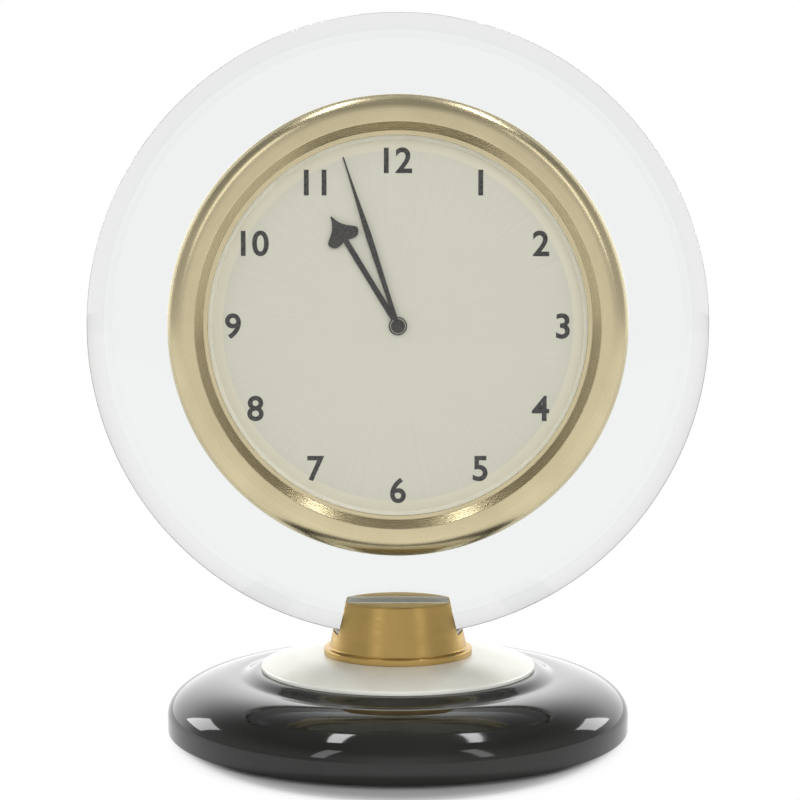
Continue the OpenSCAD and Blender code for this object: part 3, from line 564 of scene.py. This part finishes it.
BASE_OUTLINE = rounded(
    sharp([(SCREW_HOLE_R, POCKET_TOP), (POCKET_R, POCKET_TOP), (POCKET_R, PAD_T), (RECESS_R, PAD_T)])
    + [(RECESS_R, BASE_BOTTOM, FINE_EDGE), (BASE_R, BASE_BOTTOM, BASE_EDGE)]
    + sharp(quarter((STEP_R, SIDE_TOP), BASE_R - STEP_R, STEP_Z - SIDE_TOP) + rise())
    + sharp([(SOCKET_R, BASE_TOP), (SOCKET_R, SOCKET_Z), (SCREW_HOLE_R, SOCKET_Z)])
)
finish_piece(lathe("base_turned", BASE_OUTLINE, on_base), "stand", "black_lacquer", "base")

PLATE_OUTLINE = rounded(
    [(SOCKET_R, BASE_TOP, 0), (PLATE_R, BASE_TOP, FINE_EDGE), (PLATE_R, PLATE_EDGE_Z, PLATE_EDGE)]
    + sharp(crown() + [(SOCKET_R, SEAT_Z)])
)
finish_piece(lathe("plate_spun", PLATE_OUTLINE, on_base), "stand", "plate_silver", "top_plate")

PAD_OUTLINE = rounded([(0, 0, 0), (PAD_R, 0, PAD_FOOT_EDGE), (PAD_R, PAD_T, PAD_TOP_EDGE), (0, PAD_T, 0)])
felt_disc = lathe("felt_disc", PAD_OUTLINE, on_base)
finish_piece(felt_disc, "stand", "felt", "foot_pad")

# Neck: turned, then slotted for the disc
SPIGOT_R = 6.0
SPIGOT_Z = 10.0
THREAD_R = 2.55
THREAD_END = 17.05
FLANGE_R = 14.8
FLANGE_TOP = 16.3
CONE_R = 13.73
NECK_TOP_R = 11.7
NECK_TOP = 25.8
NECK_EDGE = 0.45
SLOT_R = 62.1
SLOT_HALF_W = 5.6
SLOT_EDGE = 0.18
CUT_FROM_Z = 25
FACES_UP = 0.9
NECK_OUTLINE = rounded(
    sharp([(0, THREAD_END), (THREAD_R, THREAD_END), (THREAD_R, SPIGOT_Z), (SPIGOT_R, SPIGOT_Z)])
    + [(SPIGOT_R, SEAT_Z, 0), (FLANGE_R, SEAT_Z, FINE_EDGE), (FLANGE_R, FLANGE_TOP, NECK_EDGE)]
    + [(CONE_R, FLANGE_TOP, NECK_EDGE), (NECK_TOP_R, NECK_TOP, NECK_EDGE), (0, NECK_TOP, 0)]
)
SLOT_OUTLINE = [(0, -SLOT_HALF_W), (SLOT_R, -SLOT_HALF_W), (SLOT_R, SLOT_HALF_W), (0, SLOT_HALF_W)]


def slotted_neck():
    """The neck with its slot cut and the slot's edges softened."""
    neck = lathe("neck_blank", NECK_OUTLINE, on_base)
    cutter = lathe("neck_slot", SLOT_OUTLINE, on_dial, SLOT_SEGMENTS)
    cut = neck.modifiers.new("slot", "BOOLEAN")
    cut.operation = "DIFFERENCE"
    cut.solver = "EXACT"
    cut.object = cutter
    bevel(neck, SLOT_EDGE)
    shape = to_shape(neck)
    bpy.data.objects.remove(cutter)
    return to_object("neck_turned", shape)


neck_piece = finish_piece(slotted_neck(), "stand", "gold", "neck", material=NECK_GOLD)
neck_piece.data.materials.append(NECK_CUT)
for face in neck_piece.data.polygons:
    if face.normal.z > FACES_UP and face.center.z > CUT_FROM_Z * MM:
        face.material_index = 1

# Glass disc, bezel and lens
HOLE_R = 42.0
BEVEL_R = 57.0
DISC_R = 61.5
DISC_HALF_T = 5.0
RIM_HALF_T = 2.5
DISC_EDGE = 0.3
RIM_EDGE = 0.4
LENS_R = 38.8
LENS_BACK = 6.3
LENS_FRONT = 7.8
LENS_BACK_EDGE = 0.1
LENS_FRONT_EDGE = 0.25
BEZEL_R = 45.0
BEZEL_FRONT = 10.3
BEZEL_ROUND_Z = 6.4
SKIRT_R = 39.4
SKIRT_BACK = 4.1
LENS_SEAT_R = 38.9
LAND_OUTER_R = 41.2
LAND_INNER_R = 39.3
LAND_EDGE = 0.25
SLOPE_R = 37.7
SLOPE_FOOT = 8.3
SLOPE_EDGE = 0.2
SIGHT_R = 36.9
SIGHT_EDGE = 0.12

DISC_FACE = [
    (HOLE_R, DISC_HALF_T, DISC_EDGE),
    (BEVEL_R, DISC_HALF_T, DISC_EDGE),
    (DISC_R, RIM_HALF_T, RIM_EDGE),
]
DISC_OUTLINE = rounded([(x, -y, edge) for x, y, edge in DISC_FACE] + DISC_FACE[::-1])
disc_piece = lathe("disc_polished", DISC_OUTLINE, on_dial, DISC_SEGMENTS)
finish_piece(disc_piece, "stand", "disc_glass", "glass_disc")

BEZEL_OUTLINE = rounded(
    sharp([(LENS_SEAT_R, SKIRT_BACK), (SKIRT_R, SKIRT_BACK), (SKIRT_R, DISC_HALF_T)])
    + [(BEZEL_R, DISC_HALF_T, FINE_EDGE)]
    + sharp(quarter((LAND_OUTER_R, BEZEL_ROUND_Z), BEZEL_R - LAND_OUTER_R, BEZEL_FRONT - BEZEL_ROUND_Z))
    + [(LAND_INNER_R, BEZEL_FRONT, LAND_EDGE), (SLOPE_R, SLOPE_FOOT, SLOPE_EDGE)]
    + [(SIGHT_R, SLOPE_FOOT, SIGHT_EDGE), (SIGHT_R, LENS_FRONT, 0), (LENS_SEAT_R, LENS_FRONT, 0)]
)
bezel_piece = lathe("bezel_turned", BEZEL_OUTLINE, on_dial, DISC_SEGMENTS)
finish_piece(bezel_piece, "stand", "gold", "bezel")

LENS_OUTLINE = rounded(
    [(0, LENS_BACK, 0), (LENS_R, LENS_BACK, LENS_BACK_EDGE)]
    + [(LENS_R, LENS_FRONT, LENS_FRONT_EDGE), (0, LENS_FRONT, 0)]
)
finish_piece(lathe("lens_polished", LENS_OUTLINE, on_dial), "stand", "lens_glass", "lens")

# Numbers printed on the dial
NUMBER_RADIUS = 32.3
NUMBER_HEIGHT = 5.0
NUMBER_BOLD = 0.02
PRINT_FRONT = 4.03
PRINT_T = 0.002


def number_shape(text):
    """One number as a flat bmesh, centred, with its strokes made bolder."""
    letters = bpy.data.curves.new("number", "FONT")
    letters.body = text
    letters.size = 1
    letters.offset = NUMBER_BOLD
    letters.extrude = PRINT_T
    shape = to_shape(add_object("number", letters))
    low = Vector([min(v.co[i] for v in shape.verts) for i in range(3)])
    high = Vector([max(v.co[i] for v in shape.verts) for i in range(3)])
    scale = NUMBER_HEIGHT / (high.y - low.y)
    for vertex in shape.verts:
        vertex.co = (vertex.co - (low + high) / 2) * scale
    return shape


def dial_numbers():
    """The numbers 1 to 12, upright round the dial."""
    everything = bmesh.new()
    for hour in range(1, 13):
        x, y = polar(NUMBER_RADIUS, 90 - 30 * hour)
        shape = number_shape(str(hour))
        for vertex in shape.verts:
            vertex.co = on_dial(x + vertex.co.x, y + vertex.co.y, PRINT_FRONT + vertex.co.z)
        mesh = bpy.data.meshes.new("number")
        shape.to_mesh(mesh)
        shape.free()
        everything.from_mesh(mesh)
        bpy.data.meshes.remove(mesh)
    return to_object("dial_numbers", everything)


finish_piece(dial_numbers(), "stand", "hand_black")

# Hands
STEM_W = 1.1
SPADE_W = 6.6
SPADE_AT = 20.3
HOUR_REACH = 25.0
HOUR_BOSS_R = 1.8
HOUR_HOLE_R = 1.52
HOUR_BACK = 4.7
BLADE_W = 1.2
BLADE_FROM = 2.4
BLADE_AT = 18.0
MINUTE_REACH = 34.5
MINUTE_BOSS_R = 1.4
MINUTE_HOLE_R = 1.02
MINUTE_BACK = 5.4
TIP_HALF_W = 0.14
HAND_T = 0.3
CAP_R = 1.3
CAP_EDGE = 0.05
CAP_ROUND = 0.25
CAP_BACK = 5.7
CAP_SEAT = 5.77
CAP_FRONT = 6.1


def spade_half():
    """The half width of the hour hand's stem, and its right side from the stem to the tip."""
    lobe = [(STEM_W / 2, SPADE_AT - 0.12 * SPADE_W), (STEM_W, SPADE_AT - 0.16 * SPADE_W)]
    lobe += [(0.42 * SPADE_W, SPADE_AT - 0.26 * SPADE_W), (SPADE_W / 2, SPADE_AT)]
    point = [(SPADE_W / 2, SPADE_AT), (0.54 * SPADE_W, SPADE_AT + 0.17 * SPADE_W)]
    point += [(0.12 * SPADE_W, SPADE_AT + 0.2 * SPADE_W), (TIP_HALF_W, HOUR_REACH)]
    return STEM_W / 2, bezier(lobe) + bezier(point)[1:]


def blade_half():
    """The half width of the minute hand's stem, and its right side from the stem to the tip."""
    root = 0.4 * STEM_W
    swell = [(root, BLADE_FROM), (root, 0.6 * BLADE_AT)]
    swell += [(BLADE_W / 2, 0.75 * BLADE_AT), (BLADE_W / 2, BLADE_AT)]
    thin = [(BLADE_W / 2, BLADE_AT), (BLADE_W / 2, 1.2 * BLADE_AT)]
    thin += [(0.25 * BLADE_W, 1.3 * BLADE_AT), (TIP_HALF_W, MINUTE_REACH)]
    return root, bezier(swell) + bezier(thin)[1:]


def hand(name, half, boss_r, hole_r, turn, back):
    """A hand with a round boss, turned clockwise from 12 by that many degrees."""
    stem, side = half
    foot = math.degrees(math.asin(stem / boss_r))
    boss = [polar(boss_r, 90 + foot + (360 - 2 * foot) * k / BOSS_STEPS) for k in range(BOSS_STEPS + 1)]
    outline = boss + side + [(-x, y) for x, y in reversed(side)]
    hole = [polar(hole_r, 360 * k / BOSS_STEPS) for k in range(BOSS_STEPS)]
    spin = Matrix.Rotation(math.radians(-turn), 3, "Z")

    def place(x, y, z):
        spun = spin @ Vector((x, y, z))
        return on_dial(spun.x, spun.y, back + HAND_T / 2 + spun.z)

    return plate(name, [outline, hole], HAND_T, place)


hour_angle = 30 * (SHOWN_HOUR + SHOWN_MINUTE / 60)
minute_angle = 6 * SHOWN_MINUTE
hour_piece = hand(
    "hour_hand_enamel", spade_half(), HOUR_BOSS_R, HOUR_HOLE_R, hour_angle, HOUR_BACK
)
finish_piece(hour_piece, "hour_group", "hand_black", "hour_hand")
minute_piece = hand(
    "minute_hand_enamel", blade_half(), MINUTE_BOSS_R, MINUTE_HOLE_R, minute_angle, MINUTE_BACK
)
finish_piece(minute_piece, "minute_group", "hand_black", "minute_hand")

CAP_OUTLINE = rounded(
    sharp([(0, CAP_SEAT), (MINUTE_HOLE_R, CAP_SEAT), (MINUTE_HOLE_R, CAP_BACK)])
    + [(CAP_R, CAP_BACK, CAP_EDGE), (CAP_R, CAP_FRONT, CAP_ROUND), (0, CAP_FRONT, 0)]
)
cap_piece = lathe("hand_cap_domed", CAP_OUTLINE, on_dial, CAP_SEGMENTS)
finish_piece(cap_piece, "minute_group", "hand_black", "hand_cap")

# Raised marks on the back: the way that the knob turns and the way that the door slides
KNOB_GAP = 0.5
RIB_H = 0.4
MARK_H = 0.3
MARK_SINK = 0.05
TURN_MARK_R = 7.2
TURN_MARK_HALF_W = 0.4
TURN_HEAD_HALF_W = 1.12
SLIDE_MARK_W = 4.0
SLIDE_MARK_H = 2.0
SLIDE_MARK_DROP = 5.2


def turn_arrow(start=35, end=140, head=16, steps=36):
    """A band above the knob, in degrees as seen from behind, that ends in an arrowhead."""
    angles = [start + (end - start) * k / steps for k in range(steps + 1)]
    outer = [polar(TURN_MARK_R + TURN_MARK_HALF_W, a) for a in angles]
    inner = [polar(TURN_MARK_R - TURN_MARK_HALF_W, a) for a in reversed(angles)]
    point = [polar(TURN_MARK_R + TURN_HEAD_HALF_W, end), polar(TURN_MARK_R, end + head)]
    point += [polar(TURN_MARK_R - TURN_HEAD_HALF_W, end)]
    return outer + point + inner


def slide_arrow():
    """A triangle that points down."""
    top = SLIDE_MARK_H / 2
    return [(-SLIDE_MARK_W / 2, top), (0, -top), (SLIDE_MARK_W / 2, top)]


def back_mark(name, outline, middle, face, body):
    """A raised mark about middle, drawn as seen from behind, on a face that looks back."""
    thickness = MARK_H + MARK_SINK

    def place(x, y, z):
        raised = face + (MARK_H - thickness / 2 + z) * MM
        return Vector((middle.x - x * MM, raised, middle.z + y * MM))

    finish_piece(plate(name, [outline], thickness, place), body, "black_plastic")


knob_low, knob_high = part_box("setting_knob")
cover_face = knob_low.y - KNOB_GAP * MM
back_mark("knob_turn_mark", turn_arrow(), (knob_low + knob_high) / 2, cover_face, "stand")
door_low, door_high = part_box("battery_door")
door_middle = (door_low + door_high) / 2 - Vector((0, 0, SLIDE_MARK_DROP * MM))
back_mark("door_slide_mark", slide_arrow(), door_middle, door_high.y - RIB_H * MM, "door_group")

# Moulded and turned parts of the back keep their shape, with softer edges
SOFT_EDGES = {
    "back_cover": 0.25,
    "battery_door": 0.15,
    "setting_knob": 0.15,
    "cover_screws": 0.08,
    "case_drum": 0.15,
}
for name, width in SOFT_EDGES.items():
    joined = frame["nodes"][name].modifiers.new("joined", "WELD")
    joined.merge_threshold = WELD_GAP * MM
    bevel(frame["nodes"][name], width)

# Stage: a white floor, soft lamps, a pale room and the camera
FLOOR_R = 4.0
FLOOR_DROP = 0.05 * MM
SHADOW_FROM = 0.049
SHADOW_END = 0.058
SHADOW_WEIGHTS = (1.25, 1, 0)
# The darker floor colour close to the clock: a painted shadow round the base
FLOOR_PAINTED_SHADOW = (0.4, 0.4, 0.4)
FLOOR_FAR = (0.9, 0.9, 0.9)
WALL_STOPS = ((0.0, 0.85), (0.35, 0.8), (0.75, 0.36), (1.0, 0.32))
WALL_GAIN = 1.3
GLOSS_GAIN = 1.0
SIDE_SHADE = 0.62
GLOW_LEVEL = 1.2
ANY_GLOSS = 0.5
CAMERA_AWAY = 0.3304
CAMERA_TILT = 2.55
CAMERA_YAW = -0.07
FOCAL_PIXELS = 1659
IMAGE_PIXELS = 800


def background_ray(tree):
    """1 for rays that show the background: from the camera, in gloss or through glass."""
    path = node(tree, "ShaderNodeLightPath")
    seen = calc(tree, "MAXIMUM", path.outputs["Is Camera Ray"], path.outputs["Is Glossy Ray"])
    return calc(tree, "MAXIMUM", seen, path.outputs["Is Transmission Ray"])


def make_floor():
    """A wide white floor. Close to the clock it takes shadow and its colour is also painted darker, a
    painted shadow round the base; further out it is plain white.
    """
    shape = bmesh.new()
    bmesh.ops.create_circle(shape, cap_ends=True, segments=FLOOR_SEGMENTS, radius=FLOOR_R)
    floor = to_object("floor", shape)
    floor.location.z = -FLOOR_DROP
    material, tree, shader = new_material("floor_white", Roughness=0.9, Specular_IOR_Level=0.1)
    distance = radius_of(tree, (0, 0, 0), SHADOW_WEIGHTS)
    away = between(tree, distance, SHADOW_FROM, SHADOW_END, smooth=True)
    # Close to the clock the floor's colour is darker: a painted shadow added to the shadow that it takes
    tree.links.new(blend_colours(tree, away, FLOOR_PAINTED_SHADOW, FLOOR_FAR), shader.inputs["Base Color"])
    share = calc(tree, "MULTIPLY", away, background_ray(tree))
    white = node(tree, "ShaderNodeEmission", {"Strength": 1.0})
    mixed = mix_shaders(tree, share, shader.outputs[0], white.outputs[0])
    tree.links.new(mixed, tree.nodes["Material Output"].inputs["Surface"])
    floor.data.materials.append(material)


def wall_light(tree, direction, path):
    """Walls that are darker above and to the sides, and dimmer in gloss."""
    ramp = node(tree, "ShaderNodeValToRGB", {"Fac": direction.outputs["Z"]})
    while len(ramp.color_ramp.elements) < len(WALL_STOPS):
        ramp.color_ramp.elements.new(0.5)
    for element, (place, level) in zip(ramp.color_ramp.elements, WALL_STOPS):
        element.position = place
        element.color = (level, level, level, 1)
    gain = between(tree, path.outputs["Is Glossy Ray"], 0, 1, WALL_GAIN, GLOSS_GAIN)
    aside = calc(tree, "ABSOLUTE", direction.outputs["X"])
    sides = between(tree, aside, 0.12, 0.6, start=1.0, end=SIDE_SHADE)
    strength = calc(tree, "MULTIPLY", gain, sides)
    walls = {"Color": ramp.outputs["Color"], "Strength": strength}
    return node(tree, "ShaderNodeBackground", walls).outputs[0]


def glow_behind(tree, direction, path):
    """A low glow behind the clock, for rays that have met gloss."""
    low = between(tree, direction.outputs["Z"], 0.75, 0.3, smooth=True)
    behind = between(tree, direction.outputs["Y"], 0.3, 0.8, end=GLOW_LEVEL, smooth=True)
    level = calc(tree, "MULTIPLY", low, behind)
    gloss = calc(tree, "GREATER_THAN", path.outputs["Glossy Depth"], ANY_GLOSS)
    strength = calc(tree, "MULTIPLY", level, gloss)
    return node(tree, "ShaderNodeBackground", {"Color": WHITE, "Strength": strength}).outputs[0]


def plain_view(tree, direction, path):
    """1 for rays that show plain white: from the camera, or through glass and straight on to the back."""
    ahead = between(tree, direction.outputs["Y"], 0.75, 0.92, smooth=True)
    through = calc(tree, "MULTIPLY", path.outputs["Is Transmission Ray"], ahead)
    no_gloss = calc(tree, "LESS_THAN", path.outputs["Glossy Depth"], ANY_GLOSS)
    clear = calc(tree, "MULTIPLY", through, no_gloss)
    return calc(tree, "MAXIMUM", path.outputs["Is Camera Ray"], clear)


def make_room():
    """Pale walls, a darker ceiling and a glow behind the clock. The camera sees plain white."""
    room = bpy.data.worlds.new("room")
    bpy.context.scene.world = room
    room.use_nodes = True
    tree = room.node_tree
    seen = node(tree, "ShaderNodeTexCoord").outputs["Generated"]
    direction = node(tree, "ShaderNodeSeparateXYZ", {"Vector": seen})
    path = node(tree, "ShaderNodeLightPath")
    walls = wall_light(tree, direction, path)
    glow = glow_behind(tree, direction, path)
    lit = node(tree, "ShaderNodeAddShader", {0: walls, 1: glow})
    white = node(tree, "ShaderNodeBackground", {"Color": WHITE, "Strength": 1.0})
    mixed = mix_shaders(tree, plain_view(tree, direction, path), lit.outputs[0], white.outputs[0])
    tree.links.new(mixed, tree.nodes["World Output"].inputs["Surface"])


def soft_lamp(name, place, turn, size, level, mirrored=True):
    """A rectangular lamp that faces down before it is turned. level is its brightness, where 1 is white.

    Gloss shows the lamp where it is mirrored.
    """
    lamp = bpy.data.lights.new(name, "AREA")
    lamp.shape = "RECTANGLE"
    lamp.size, lamp.size_y = size
    lamp.energy = level * math.pi * size[0] * size[1]
    obj = add_object(name, lamp)
    obj.location = place
    obj.rotation_euler = [math.radians(a) for a in turn]
    obj.visible_camera = False
    obj.visible_transmission = False
    obj.visible_glossy = mirrored


def make_camera():
    """The photograph's view: level with the dial, and tilted a little down."""
    lens = bpy.data.cameras.new("camera")
    lens.sensor_width = 36
    lens.lens = lens.sensor_width * FOCAL_PIXELS / IMAGE_PIXELS
    lens.clip_start = 0.01
    camera = add_object("camera", lens)
    camera.location = (0, -CAMERA_AWAY, DIAL_Z * MM)
    camera.rotation_euler = (math.radians(90 - CAMERA_TILT), 0, math.radians(CAMERA_YAW))
    bpy.context.scene.camera = camera


make_floor()
make_room()
soft_lamp("lamp_front", (0.1, -1.5, 0.3), (82, 0, 4), (0.8, 0.6), 6.8, mirrored=False)
soft_lamp("lamp_left", (-0.215, 0.15, 0.9), (0, 0, -18.7), (0.08, 0.6), 10)
soft_lamp("lamp_right", (0.29, 0.15, 0.9), (0, 0, 21), (0.08, 0.6), 10)
soft_lamp("lamp_front_left", (-0.87, -1.09, 0.92), (58.7, 0, -38.5), (0.2, 1.0), 2.5)
soft_lamp("lamp_front_right", (0.95, -1.02, 0.92), (58.7, 0, 43), (0.2, 1.0), 2.5)
soft_lamp("lamp_back_left", (-1.2, 0.75, 0.62), (67, 0, 238), (0.5, 0.5), 4.8)
soft_lamp("lamp_back_right", (1.2, 0.75, 0.62), (67, 0, 122), (0.5, 0.5), 4.8)
make_camera()

bpy.context.scene.view_settings.view_transform = "Standard"
